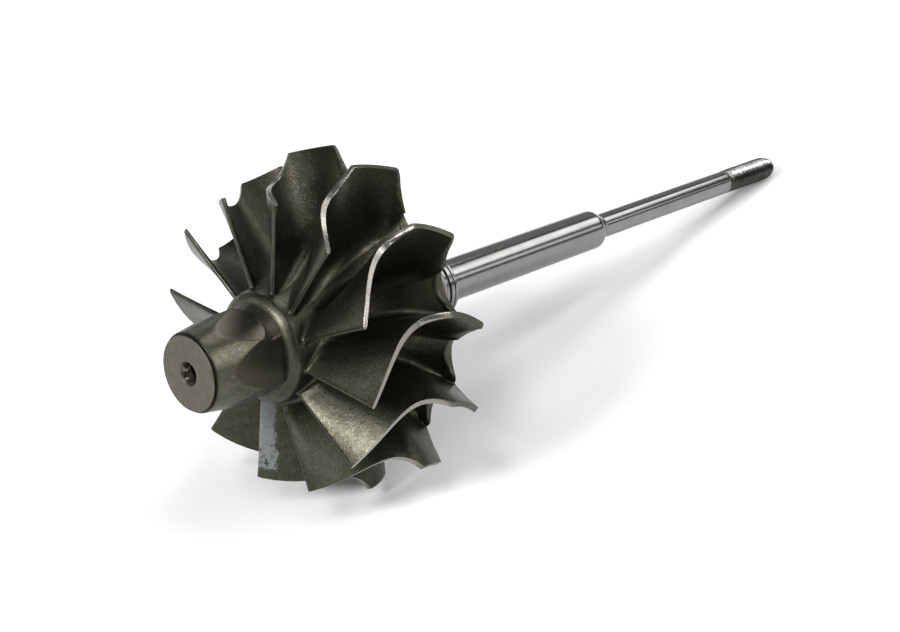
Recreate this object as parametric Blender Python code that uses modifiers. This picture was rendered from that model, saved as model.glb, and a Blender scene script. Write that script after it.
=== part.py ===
"""Turbine wheel and shaft of a large turbocharger, lying as it does on a bench.

The rotor is drawn along its own axis, local Z, from the nose face (Z = 0) to the
threaded end. An empty then lays it down: it rests on two blade corners and on the
end of its thread, with the shaft pointing along +Y.
"""
from math import atan2, cos, degrees, pi, radians, sin

import bmesh
import bpy
from mathutils import Vector

# Driving dimensions, in millimetres
MM = 0.001
JOINT_GAP = 0.05
ROOT_GAP = 0.12
TURN_STEPS = 48

# Nose: a tapered cone cut to a hexagon, with a centre hole for the lathe
PAD_RADIUS = 8.25
PAD_LENGTH = 0.5
PAD_CHAMFER = 0.2
CONE_CHAMFER = 0.25
CONE_START_RADIUS = 8.75
CONE_TAPER = 0.16
HEX_APOTHEM = 9.55
HEX_CORNER_ANGLE = 20.55
HEX_END = 17.9
HEX_FIRST_CORNER = 90.0
HOLE_MOUTH_RADIUS = 2.7
HOLE_PILOT_RADIUS = 1.35
HOLE_CONE_DEPTH = 2.4
HOLE_DEPTH = 7.0

# Wheel: hub, back disc and blades
COLLAR_INNER_RADIUS = 10.9
COLLAR_RADIUS = 12.0
COLLAR_FILLET = 0.8
HUB_FRONT_RADIUS = 12.6
HUB_START = 21.0
HUB_SPLIT = 43.0
HUB_FLARE = 2.6
FLARE_END = 49.4
FLARE_END_RADIUS = 26.9
RIM_START = 50.3
RIM_RADIUS = 30.5
BACK_POWER = 2.1
BACK_SPLIT = 58.0
BLADE_COUNT = 12
BLADE_TRAILING_ANGLE = 4.92
TRAILING_EDGE = 21.4
TRAILING_RADIUS = 32.9
INDUCER_FRONT = 39.9
INDUCER_FRONT_RADIUS = 38.6
BLADE_BACK = 49.1
INDUCER_BACK_RADIUS = 38.3
CORNER_LENGTH = 0.8
CORNER_DROP = 0.4
BLADE_FOOT = 51.3
SHROUD_POWER = 5.2
TURN_AT_BACK = -18.5
TURN_RATE_FRONT = -3.456
TURN_RATE_BACK = 1.31
ROOT_LEAN = 3.0
TIP_THICKNESS = 1.05
ROOT_THICKNESS = 2.1
EDGE_THINNING = 0.35
EDGE_THINNING_LENGTH = 5.0
SHROUD_STEPS = 11
INDUCER_STEPS = 5
SPAN_STEPS = 3
HUB_STEPS = 9
FLARE_STEPS = 5
BACK_STEPS = 5
BOSS_STEPS = 7
FILLET_STEPS = 4
SCALLOP_CENTRE = 33.8
SCALLOP_RADIUS = 7.15
SCALLOP_TAPER = 0.6
SCALLOP_START = 46.0
SCALLOP_END = 60.0
SCALLOP_SIDES = 24

# Shaft
BOSS_NECK_RADIUS = 8.4
BOSS_END = 68.2
SEAM_RADIUS = 8.6
SEAM_END = 69.2
SEAL_RADIUS = 7.25
SEAL_STEP_START = 69.5
SEAL_STEP_END = 69.8
SEAL_END = 71.1
GROOVE_RADIUS = 6.2
GROOVE_END = 71.8
LAND_END = 73.9
LAND_CHAMFER = 0.3
LAND_NOTCH = 73.0
LAND_NOTCH_WIDTH = 0.3
LAND_NOTCH_DEPTH = 0.4
JOURNAL_RADIUS = 5.0
JOURNAL_END = 131.0
SHOULDER_END = 133.6
SHOULDER_FACE_RADIUS = 3.9
STUB_RADIUS = 3.175
STUB_END = 189.5
THREAD_END = 208.0
TIP_END = 212.3
TIP_RADIUS = 2.0
SHAFT_STEPS = 36

# Rest: how far from straight down the back corner of the lower left blade touches
REST_CORNER_ANGLE = 12.79

COLOURS = {
    "cast_alloy": ((0.075, 0.070, 0.056), 0.55, 0.85),
    "machined_alloy": ((0.30, 0.28, 0.25), 0.42, 0.90),
    "ground_steel": ((0.62, 0.63, 0.63), 0.18, 1.00),
    "threaded_steel": ((0.22, 0.22, 0.21), 0.40, 1.00),
    "weld_metal": ((0.20, 0.18, 0.16), 0.50, 0.90),
}


def clear_scene():
    for thing in list(bpy.data.objects):
        bpy.data.objects.remove(thing, do_unlink=True)


def new_collection(name):
    collection = bpy.data.collections.new(name)
    bpy.context.scene.collection.children.link(collection)
    return collection


def new_material(name):
    colour, roughness, metallic = COLOURS[name]
    material = bpy.data.materials.new(name)
    material.use_nodes = True
    shader = material.node_tree.nodes["Principled BSDF"]
    shader.inputs["Base Color"].default_value = (*colour, 1.0)
    shader.inputs["Roughness"].default_value = roughness
    shader.inputs["Metallic"].default_value = metallic
    return material


def add_object(name, mesh, collection, axis, material=None):
    thing = bpy.data.objects.new(name, mesh)
    collection.objects.link(thing)
    thing.parent = axis
    if material is not None:
        mesh.materials.append(material)
    return thing


def turned(name, outline, collection, axis, material=None, steps=TURN_STEPS):
    """Turns an outline of (distance along the axis, radius) points into a solid."""
    mesh = bpy.data.meshes.new(name)
    points = sorted(range(len(outline)), key=lambda index: -index)
    vertices = [(outline[index][1] * MM, 0.0, outline[index][0] * MM) for index in points]
    mesh.from_pydata(vertices, [(index, index + 1) for index in range(len(vertices) - 1)], [])
    thing = add_object(name, mesh, collection, axis, material)
    screw = thing.modifiers.new("turn", "SCREW")
    screw.axis = "Z"
    screw.angle = 2 * pi
    screw.steps = steps
    screw.render_steps = steps
    screw.use_merge_vertices = True
    screw.merge_threshold = 0.00001
    screw.use_smooth_shade = True
    return thing


def as_cutter(thing):
    thing.hide_render = True
    thing.display_type = "WIRE"
    return thing


def combine(thing, cutter, operation):
    boolean = thing.modifiers.new(operation.lower(), "BOOLEAN")
    boolean.operation = operation
    boolean.solver = "EXACT"
    boolean.object = cutter


def hub_radius(along):
    """Radius of the hub surface that carries the blades, up to the rim of the back disc."""
    part = max(min(along, FLARE_END) - HUB_START, 0.0) / (FLARE_END - HUB_START)
    radius = HUB_FRONT_RADIUS + (FLARE_END_RADIUS - HUB_FRONT_RADIUS) * part ** HUB_FLARE
    past = max(min(along, RIM_START) - FLARE_END, 0.0) / (RIM_START - FLARE_END)
    return radius + (RIM_RADIUS - FLARE_END_RADIUS) * past


def back_radius(along):
    """Radius of the wheel's sloping back, from the blades' back corners to the weld."""
    part = (along - BLADE_BACK) / (BOSS_END - BLADE_BACK)
    part = min(max(part, 0.0), 1.0)
    return BOSS_NECK_RADIUS + (INDUCER_BACK_RADIUS - BOSS_NECK_RADIUS) * (1 - part) ** BACK_POWER


def spread(start, end, steps):
    """Evenly spaced distances along the axis, both ends included."""
    return [start + (end - start) * step / steps for step in range(steps + 1)]


def tip_radius(along):
    """Radius of the blade tips: the machined shroud line, then the inducer edge."""
    if along > BLADE_BACK:
        return back_radius(along) - CORNER_DROP * max(1 - (along - BLADE_BACK) / CORNER_LENGTH, 0.0)
    if along <= INDUCER_FRONT:
        part = max(along - TRAILING_EDGE, 0.0) / (INDUCER_FRONT - TRAILING_EDGE)
        return TRAILING_RADIUS + (INDUCER_FRONT_RADIUS - TRAILING_RADIUS) * part ** SHROUD_POWER
    part = (along - INDUCER_FRONT) / (BLADE_BACK - INDUCER_FRONT)
    radius = INDUCER_FRONT_RADIUS + (INDUCER_BACK_RADIUS - INDUCER_FRONT_RADIUS) * part
    past = (along - (BLADE_BACK - CORNER_LENGTH)) / CORNER_LENGTH
    if past > 0:
        radius -= CORNER_DROP * (1 - (1 - min(past, 1.0) ** 2) ** 0.5)
    return radius


def blade_turn(along):
    """Angle by which the blade has turned about the axis, and its rate per millimetre."""
    length = BLADE_BACK - TRAILING_EDGE
    part = min((along - TRAILING_EDGE) / length, 1.0)
    front = TURN_RATE_FRONT * length
    back = TURN_RATE_BACK * length
    cubic = front + back - 2 * TURN_AT_BACK
    square = 3 * TURN_AT_BACK - 2 * front - back
    angle = cubic * part ** 3 + square * part ** 2 + front * part
    rate = (3 * cubic * part ** 2 + 2 * square * part + front) / length
    if along >= BLADE_BACK:
        rate = 0.0
    return radians(angle), radians(rate)


def blade_thickness(along, span):
    thickness = ROOT_THICKNESS + (TIP_THICKNESS - ROOT_THICKNESS) * span
    from_edge = (along - TRAILING_EDGE) / EDGE_THINNING_LENGTH
    return thickness - EDGE_THINNING * ROOT_THICKNESS * (1 - span) * max(1 - from_edge, 0.0)


def blade_point(along, span, side):
    """A point on one side of the blade, from its root (span 0) to its tip (span 1)."""
    turn, rate = blade_turn(along)
    root = hub_radius(along) + ROOT_GAP
    radius = root + (tip_radius(along) - root) * span
    angle = turn + radians(ROOT_LEAN) * (1 - span) ** 2
    normal = Vector((sin(angle), -cos(angle), radius * rate)).normalized()
    point = Vector((radius * cos(angle), radius * sin(angle), along))
    point += normal * side * blade_thickness(along, span) / 2
    wanted = None
    if span == 0:
        wanted = hub_radius(point.z) + ROOT_GAP
    elif span == 1:
        wanted = tip_radius(point.z)
    if wanted is not None:
        scale = wanted / point.xy.length
        point.x *= scale
        point.y *= scale
    return point * MM


def blade_mesh():
    """Loft of one blade: a grid of points on each side, joined round the border."""
    stations = spread(TRAILING_EDGE, INDUCER_FRONT, SHROUD_STEPS)
    stations += spread(INDUCER_FRONT, BLADE_BACK, INDUCER_STEPS)[1:]
    stations += [FLARE_END, RIM_START, BLADE_FOOT]
    spans = [step / SPAN_STEPS for step in range(SPAN_STEPS + 1)]
    work = bmesh.new()
    sides = []
    for side in (1, -1):
        grid = [[work.verts.new(blade_point(along, span, side)) for span in spans] for along in stations]
        sides.append(grid)
    for grid in sides:
        for row in range(len(stations) - 1):
            for column in range(len(spans) - 1):
                work.faces.new((
                    grid[row][column], grid[row + 1][column],
                    grid[row + 1][column + 1], grid[row][column + 1],
                ))
    last_row = len(stations) - 1
    last_column = len(spans) - 1
    border = [(row, 0) for row in range(last_row)]
    border += [(last_row, column) for column in range(last_column)]
    border += [(row, last_column) for row in range(last_row, 0, -1)]
    border += [(0, column) for column in range(last_column, 0, -1)]
    first, second = sides
    for index, (row, column) in enumerate(border):
        next_row, next_column = border[(index + 1) % len(border)]
        work.faces.new((
            first[row][column], first[next_row][next_column],
            second[next_row][next_column], second[row][column],
        ))
    bmesh.ops.recalc_face_normals(work, faces=work.faces)
    mesh = bpy.data.meshes.new("blade")
    work.to_mesh(mesh)
    work.free()
    return mesh


def make_nose(parts, cutters, axis, materials):
    """Face pad, hexagonal cone and the centre hole that goes through both."""
    hole = as_cutter(turned("centre_hole_cutter", [
        (-1.0, 0.0),
        (-1.0, HOLE_MOUTH_RADIUS + (HOLE_MOUTH_RADIUS - HOLE_PILOT_RADIUS) / HOLE_CONE_DEPTH),
        (HOLE_CONE_DEPTH, HOLE_PILOT_RADIUS),
        (HOLE_DEPTH - HOLE_PILOT_RADIUS, HOLE_PILOT_RADIUS),
        (HOLE_DEPTH, 0.0),
    ], cutters, axis, steps=SHAFT_STEPS))
    pad = turned("nose_face_pad", [
        (0.0, 0.0), (0.0, PAD_RADIUS - PAD_CHAMFER), (PAD_CHAMFER, PAD_RADIUS),
        (PAD_LENGTH, PAD_RADIUS), (PAD_LENGTH, 0.0),
    ], parts, axis, materials["machined_alloy"])
    combine(pad, hole, "DIFFERENCE")
    start = PAD_LENGTH + JOINT_GAP
    end = HEX_END
    cone = turned("nose_hex", [
        (start, 0.0), (start, CONE_START_RADIUS - CONE_CHAMFER), (start + CONE_CHAMFER, CONE_START_RADIUS),
        (end, CONE_START_RADIUS + CONE_TAPER * (end - start)), (end, 0.0),
    ], parts, axis, materials["cast_alloy"])
    bpy.ops.mesh.primitive_cylinder_add(
        vertices=6, radius=HEX_APOTHEM * MM / cos(pi / 6), depth=4 * HEX_END * MM)
    prism = bpy.context.object
    prism.name = "hexagon_cutter"
    prism.parent = axis
    prism.rotation_euler.z = radians(HEX_CORNER_ANGLE - HEX_FIRST_CORNER)
    for collection in list(prism.users_collection):
        collection.objects.unlink(prism)
    cutters.objects.link(as_cutter(prism))
    combine(cone, prism, "INTERSECT")
    combine(cone, hole, "DIFFERENCE")


def make_wheel(parts, cutters, axis, materials):
    """Collar, hub, back disc scalloped between the blades, and the ring of blades."""
    start = HEX_END + JOINT_GAP
    end = HUB_START - JOINT_GAP
    fillet = [
        (start + COLLAR_FILLET * (1 - cos(angle)),
         COLLAR_INNER_RADIUS + (COLLAR_RADIUS - COLLAR_INNER_RADIUS) * sin(angle))
        for angle in spread(0.0, pi / 2, FILLET_STEPS)
    ]
    turned("nose_collar", [(start, 0.0)] + fillet + [(end, HUB_FRONT_RADIUS), (end, 0.0)],
           parts, axis, materials["cast_alloy"])

    outline = [(along, hub_radius(along)) for along in spread(HUB_START, HUB_SPLIT, HUB_STEPS)]
    turned("hub", [(HUB_START, 0.0)] + outline + [(HUB_SPLIT, 0.0)],
           parts, axis, materials["cast_alloy"])

    start = HUB_SPLIT + JOINT_GAP
    outline = [(along, hub_radius(along)) for along in spread(start, FLARE_END, FLARE_STEPS)]
    outline.append((RIM_START, RIM_RADIUS))
    outline += [(along, min(back_radius(along), RIM_RADIUS))
                for along in spread(BLADE_FOOT, BACK_SPLIT, BACK_STEPS)]
    outline = [(start, 0.0)] + outline + [(BACK_SPLIT, 0.0)]
    disc = turned("back_disc", outline, parts, axis, materials["cast_alloy"])
    between = radians(BLADE_TRAILING_ANGLE + TURN_AT_BACK) + pi / BLADE_COUNT
    for index in range(BLADE_COUNT):
        angle = between + index * 2 * pi / BLADE_COUNT
        bpy.ops.mesh.primitive_cone_add(
            vertices=SCALLOP_SIDES, depth=(SCALLOP_END - SCALLOP_START) * MM,
            radius1=(SCALLOP_RADIUS - SCALLOP_TAPER * (FLARE_END - SCALLOP_START)) * MM,
            radius2=(SCALLOP_RADIUS + SCALLOP_TAPER * (SCALLOP_END - FLARE_END)) * MM,
            location=(SCALLOP_CENTRE * MM * cos(angle), SCALLOP_CENTRE * MM * sin(angle),
                      (SCALLOP_START + SCALLOP_END) / 2 * MM))
        scallop = bpy.context.object
        scallop.name = "scallop_cutter_%02d" % (index + 1)
        scallop.parent = axis
        for collection in list(scallop.users_collection):
            collection.objects.unlink(scallop)
        cutters.objects.link(as_cutter(scallop))
        combine(disc, scallop, "DIFFERENCE")

    mesh = blade_mesh()
    mesh.materials.append(materials["cast_alloy"])
    for index in range(BLADE_COUNT):
        blade = add_object("blade_%02d" % (index + 1), mesh, parts, axis)
        blade.rotation_euler.z = radians(BLADE_TRAILING_ANGLE) + index * 2 * pi / BLADE_COUNT


def make_shaft(parts, axis, materials):
    """Everything behind the wheel, from the weld to the threaded end."""
    steel = materials["ground_steel"]

    def length(name, outline, material=steel):
        outline = [(outline[0][0], 0.0)] + outline + [(outline[-1][0], 0.0)]
        turned(name, outline, parts, axis, material, SHAFT_STEPS)

    length("weld_boss", [
        (along, back_radius(along)) for along in spread(BACK_SPLIT + JOINT_GAP, BOSS_END, BOSS_STEPS)
    ], materials["cast_alloy"])
    length("weld_seam", [
        (BOSS_END + JOINT_GAP, BOSS_NECK_RADIUS), ((BOSS_END + SEAM_END) / 2, SEAM_RADIUS),
        (SEAM_END, BOSS_NECK_RADIUS)], materials["weld_metal"])
    length("seal_boss", [
        (SEAM_END + JOINT_GAP, BOSS_NECK_RADIUS), (SEAL_STEP_START, BOSS_NECK_RADIUS),
        (SEAL_STEP_END, SEAL_RADIUS), (SEAL_END, SEAL_RADIUS)])
    length("seal_ring_groove", [(SEAL_END + JOINT_GAP, GROOVE_RADIUS), (GROOVE_END, GROOVE_RADIUS)])
    half = LAND_NOTCH_WIDTH / 2
    length("rear_seal_land", [
        (GROOVE_END + JOINT_GAP, SEAL_RADIUS), (LAND_NOTCH - half, SEAL_RADIUS),
        (LAND_NOTCH, SEAL_RADIUS - LAND_NOTCH_DEPTH), (LAND_NOTCH + half, SEAL_RADIUS),
        (LAND_END - LAND_CHAMFER, SEAL_RADIUS), (LAND_END, SEAL_RADIUS - LAND_CHAMFER)])
    length("bearing_journal", [(LAND_END + JOINT_GAP, JOURNAL_RADIUS), (JOURNAL_END, JOURNAL_RADIUS)])
    length("journal_shoulder", [
        (JOURNAL_END + JOINT_GAP, JOURNAL_RADIUS), (SHOULDER_END, SHOULDER_FACE_RADIUS)])
    length("stub_shaft", [(SHOULDER_END + JOINT_GAP, STUB_RADIUS), (STUB_END, STUB_RADIUS)])
    threaded = materials["threaded_steel"]
    length("thread", [(STUB_END + JOINT_GAP, STUB_RADIUS), (THREAD_END, STUB_RADIUS)], threaded)
    length("thread_tip", [(THREAD_END + JOINT_GAP, STUB_RADIUS), (TIP_END, TIP_RADIUS)], threaded)


def lay_down(axis, parts):
    """Tilts the rotor onto two blade corners and its thread, centred over the origin."""
    corner_drop = (INDUCER_BACK_RADIUS - CORNER_DROP) * cos(radians(REST_CORNER_ANGLE))
    tilt = atan2(corner_drop - STUB_RADIUS, THREAD_END + JOINT_GAP - BLADE_BACK)
    axis.rotation_euler.x = -(pi / 2 + tilt)
    bpy.context.view_layer.update()
    graph = bpy.context.evaluated_depsgraph_get()
    points = []
    for thing in parts.objects:
        if thing.type != "MESH":
            continue
        seen = thing.evaluated_get(graph)
        points += [seen.matrix_world @ vertex.co for vertex in seen.data.vertices]
    low = Vector([min(point[side] for point in points) for side in range(3)])
    high = Vector([max(point[side] for point in points) for side in range(3)])
    axis.location = (-(low.x + high.x) / 2, -(low.y + high.y) / 2, -low.z)
    bpy.context.view_layer.update()
    print("tilt of the shaft", round(degrees(tilt), 2), "size", [round(side * 1000, 1) for side in high - low])


def main():
    clear_scene()
    parts = new_collection("turbine_rotor")
    cutters = new_collection("cutters")
    axis = bpy.data.objects.new("rotor_axis", None)
    parts.objects.link(axis)
    materials = {name: new_material(name) for name in COLOURS}
    make_nose(parts, cutters, axis, materials)
    make_wheel(parts, cutters, axis, materials)
    make_shaft(parts, axis, materials)
    lay_down(axis, parts)


main()
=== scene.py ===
"""Turbine wheel and shaft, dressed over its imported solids.

Shapes are drawn along the rotor's own axis, in millimetres from the nose face, and
finish_piece() lays them down as the rotor rests: on two blade corners and its thread.
"""

from math import cos, exp, log, pi, radians, sin, sqrt, tan

import bmesh
import bpy
from mathutils import Matrix, Vector


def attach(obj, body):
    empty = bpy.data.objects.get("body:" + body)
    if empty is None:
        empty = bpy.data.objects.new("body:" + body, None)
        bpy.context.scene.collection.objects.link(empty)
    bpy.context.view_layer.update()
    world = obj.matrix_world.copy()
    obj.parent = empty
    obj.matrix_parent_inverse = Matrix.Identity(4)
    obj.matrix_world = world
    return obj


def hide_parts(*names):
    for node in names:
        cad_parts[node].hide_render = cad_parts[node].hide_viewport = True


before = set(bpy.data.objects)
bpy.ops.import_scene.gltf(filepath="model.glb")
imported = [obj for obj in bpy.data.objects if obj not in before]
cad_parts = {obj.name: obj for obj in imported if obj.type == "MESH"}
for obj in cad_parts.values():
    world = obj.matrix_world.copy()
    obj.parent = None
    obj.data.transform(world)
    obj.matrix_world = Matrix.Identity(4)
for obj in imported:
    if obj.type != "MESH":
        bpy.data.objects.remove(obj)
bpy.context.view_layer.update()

MM = 0.001
MERGE_DISTANCE = 0.002
SLIVER = 0.001
SHARP_ANGLE = 40.0
EASE_STEPS = 4
EASE_ROOM = 2.6
EASE_HOLD = 1.25

# Nose: turned face, cone with six ground flats, centre hole, one-sided neck, collar
PAD_RADIUS = 8.25
PAD_LENGTH = 0.5
PAD_EASE = 0.12
NOSE_START = 0.56
CONE_START_RADIUS = 8.72
CONE_TAPER = 0.16
CONE_EDGE_LENGTH = 0.35
CONE_EDGE_DROP = 0.3
HEX_APOTHEM = 9.5
HEX_FALL = 0.02
HEX_CORNER_ANGLE = 20.55
HEX_EASE = 0.05
HOLE_MOUTH_RADIUS = 2.7
HOLE_PILOT_RADIUS = 1.35
HOLE_CONE_DEPTH = 2.4
HOLE_DEPTH = 7.0
HOLE_END_LENGTH = 0.3
NECK_START = 12.5
NECK_START_RADIUS = 10.9
NECK_BOTTOM = 15.9
NECK_RADIUS = 9.2
NECK_FROM_ANGLE = 218.0
NECK_TO_ANGLE = 326.0
NECK_FADE = 8.0
NECK_CURVE = 1.2
FINE_STRETCH = 0.6
COLLAR_START = 18.2
COLLAR_FOOT_RADIUS = 10.3
COLLAR_FULL = 19.75
COLLAR_RADIUS = 12.4
COLLAR_ROUNDING = 0.45
COLLAR_STEP = 0.01

# Wheel casting
HUB_START = 21.0
HUB_FRONT_RADIUS = 12.6
HUB_FLARE = 2.6
FLARE_END = 49.4
FLARE_END_RADIUS = 26.9
WEB_RISE = 0.35
WEB_RUN = 1.44
WEB_LENGTH = 3.0
WEB_LIMIT = 0.999
RIM_RADIUS = 29.6
RIM_EASE = 0.8
SCALLOP_CENTRE = 33.8
SCALLOP_RADIUS = 7.15
SCALLOP_TAPER = 0.2
SCALLOP_EASE = 0.4
BACK_START = 50.5
BACK_START_RADIUS = 29.6
BACK_POWER = 2.4
BACK_CROWDING = 1.6
BOSS_NECK_RADIUS = 8.4
BOSS_END = 68.2

# Spacing of the casting's mesh: rows from the nose to the back, and where the rim's
# back edge turns, in shares of its rounding along the axis and outwards
BODY_STEPS = 360
CONE_EDGE_ROWS = 5
NOSE_ROWS = 28
NECK_ROWS = 12
NECK_BOTTOM_ROWS = 5
NECK_RISE_ROWS = 8
COLLAR_ROWS = 7
HUB_FRONT_ROWS = 3
HUB_ROWS = 24
WEB_ROWS = 14
RIM_ROWS = 5
BACK_ROWS = 26
WALL_TRIES = 12
RIM_BACK_EDGE = ((-0.6, 0.3), (0.0, -0.2))
BACK_EDGE_END = 0.5

# Blades
BLADE_COUNT = 12
BLADE_TRAILING_ANGLE = 4.92
TRAILING_EDGE = 21.4
TRAILING_RADIUS = 32.9
INDUCER_FRONT = 39.9
INDUCER_FRONT_RADIUS = 38.6
BLADE_BACK = 49.1
BLADE_BACK_ROOT = 50.8
INDUCER_BACK_RADIUS = 38.3
CORNER_LENGTH = 0.8
CORNER_DROP = 0.4
SHROUD_POWER = 5.2
TURN_AT_BACK = -18.5
TURN_RATE_FRONT = -3.456
TURN_RATE_BACK = 1.31
ROOT_LEAN = 3.0
TIP_THICKNESS = 1.0
TIP_THICKENING = 0.3
TIP_THICKENING_LENGTH = 12.0
ROOT_THICKNESS = 1.9
EDGE_THINNING = 0.35
EDGE_THINNING_LENGTH = 5.0
EDGE_ROUND = 0.45
ROOT_FILLET = 2.6
FRONT_FILLET = 0.7
FRONT_FILLET_LENGTH = 7.0
REAR_TIP_THICKNESS = 1.44
REAR_WIDENING = 3.6
REAR_WIDENING_REACH = 9.3
REAR_WIDENING_POWER = 1.8
FILLET_END_RADIUS = 33.2
FILLET_ROOM = 0.35
MACHINED_END = 38.6
MACHINED_FADE = 2.2
MACHINED_LOSS = 0.92
REAR_START = 45.0
REAR_LENGTH = 5.5
EDGE_CHAMFER = 0.07
ROOT_SINK = 0.06
FRONT_FLARE = 0.9
CHAMFERED_LEAST = 0.85

# Spacing of a blade's mesh: shares of the fillet's height, millimetres from the
# edges, and powers that crowd the rows where the outline bends
FILLET_HEIGHTS = (0.0, 0.02, 0.08, 0.18, 0.33, 0.57, 1.0)
UPPER_ROWS = 10
SHROUD_ROWS = 17
INDUCER_ROWS = 15
EDGE_ROWS = (0.0, 0.05, 0.18)
FRONT_ROOT_LENGTH = 19.8
SHROUD_CROWDING = 1.45
REAR_ROOT_CROWDING = 1.6
REAR_TIP_CROWDING = 1.3

# Paint mark: blade counted from nought, side it is on, and its reach in millimetres
MARK_BLADE = 3.0
MARK_SIDE = 1.0
MARK_WIDTH = 2.3
MARK_START = 12.4
MARK_END = 30.5
MARK_SIDE_FADE = 0.25
MARK_EDGE_START = -0.4
MARK_EDGE_FULL = -0.3
MARK_START_FADE = 0.2
MARK_END_FADE = 0.3
MARK_RAGGEDNESS = 3.0
MARK_WORN = 0.93
MARK_WHOLE = 0.84

# Shaft
SEAM_RADIUS = 8.62
SEAM_EASE = 0.05
SEAM_END = 69.2
SEAL_RADIUS = 7.25
SEAL_SLOPE = 0.3
SEAL_END = 71.1
GROOVE_RADIUS = 6.2
GROOVE_END = 71.8
LAND_NOTCH = 73.0
LAND_NOTCH_HALF = 0.15
LAND_NOTCH_DEPTH = 0.4
LAND_END = 73.9
SEAL_EASE = 0.12
JOURNAL_RADIUS = 5.0
JOURNAL_END = 131.0
SHOULDER_END = 133.6
SHOULDER_FOOT_RADIUS = 3.4
SHOULDER_FOOT_LENGTH = 0.5
SHAFT_EASE = 0.8
STUB_RADIUS = 3.175
STUB_END = 189.5
THREAD_END = 207.0
TIP_END = 212.3
TIP_ROUNDING = 0.9
THREAD_PITCH = 0.907
THREAD_DEPTH = 0.5
THREAD_RUNOUT = 1.4
THREAD_LEAD = 0.4
THREAD_STOP = 1.0
THREAD_ROOT = 0.06
THREAD_CREST = 0.42
THREAD_RINGS = 260
THREAD_STEPS = 72
TIP_RINGS = 40
SEAM_RINGS = 8
SHAFT_STEPS = 128

# Finishes: brightness of the casting (on the nose a painted highlight), depth in millimetres at which a
# flat shows, painted shade in the groove between face and nose, heights of relief, least and greatest
# roughness, a painted highlight strip along the thread's upper side, and linear colours
# Painted highlight: the nose's colour is brightened by this factor to stand in for its highlights
NOSE_PAINTED_HIGHLIGHT = 1.75
WHEEL_BRIGHTNESS = 1.12
GROUND_START = 0.01
GROUND_FULL = 0.05
# Painted shade: the casting's colour is darkened in the groove just behind the nose face, from and to
# these distances past the nose's start, down to this factor
NOSE_GROOVE_START = 0.05
NOSE_GROOVE_END = 0.4
NOSE_GROOVE_PAINTED_SHADE = 0.1
# Painted shade in the groove at the face's outer edge: its reach in from the edge and its span along
# the axis, in millimetres
PAD_GROOVE_REACH = 0.4
PAD_GROOVE_FULL = 0.3
PAD_GROOVE_FRONT = 0.12
PAD_GROOVE_BACK = 0.35
CAST_BUMP = 0.14
FACE_BUMP = 0.03
STEEL_BUMP = 0.004
BEAD_BUMP = 0.1
STEEL_ROUGHNESS = (0.15, 0.21)
THREAD_ROUGHNESS = (0.2, 0.34)
# Painted highlight: a lighter strip along the thread's upper side, its direction and its width, in
# degrees
HIGHLIGHT_STRIP_ANGLE = 288.0
HIGHLIGHT_STRIP_REACH = 40.0
CAST_DARK = (0.030, 0.0292, 0.0195, 1)
CAST_LIGHT = (0.048, 0.0468, 0.033, 1)
CAST_PATCH = (0.075, 0.074, 0.056, 1)
CAST_GRAIN = (0.115, 0.113, 0.092, 1)
BARE_DARK = (0.19, 0.182, 0.16, 1)
BARE_LIGHT = (0.245, 0.235, 0.213, 1)
FLAT_DARK = (0.060, 0.057, 0.043, 1)
FLAT_LIGHT = (0.074, 0.069, 0.053, 1)
# Painted shade: near black colour inside the centre hole's pilot
HOLE_PAINTED_SHADE = (0.004, 0.004, 0.003, 1)
HOLE_SLOPE = (0.13, 0.125, 0.105, 1)
PAINT_DARK = (0.115, 0.128, 0.124, 1)
PAINT_LIGHT = (0.185, 0.205, 0.198, 1)
FACE_DARK = (0.086, 0.079, 0.060, 1)
FACE_LIGHT = (0.125, 0.115, 0.088, 1)
FACE_RING = (0.165, 0.153, 0.122, 1)
# Colour of the painted shade in the groove at the face's edge
FACE_GROOVE_PAINTED_SHADE = (0.012, 0.012, 0.01, 1)
STEEL_DARK = (0.195, 0.2, 0.195, 1)
STEEL_LIGHT = (0.23, 0.234, 0.226, 1)
THREAD_DARK = (0.034, 0.034, 0.03, 1)
THREAD_LIGHT = (0.07, 0.07, 0.064, 1)
# Colour of the thread's painted highlight strip
THREAD_PAINTED_HIGHLIGHT = (0.42, 0.42, 0.4, 1)
BEAD_DARK = (0.16, 0.14, 0.12, 1)
BEAD_LIGHT = (0.30, 0.29, 0.28, 1)

# Place of the rotor in metres and degrees, and of the camera, its lens in millimetres
NOSE_PLACE = (0.0, -0.1032016, 0.0463615)
RESTING_TILT = 12.0
CAMERA_PLACE = (0.2611, -0.2738, 0.24506)
CAMERA_TURN = (57.8118, 5.5777, 43.1825)
CAMERA_LENS = 70.974
CAMERA_SENSOR = 36.0
CAMERA_NEAR = 0.01

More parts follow.
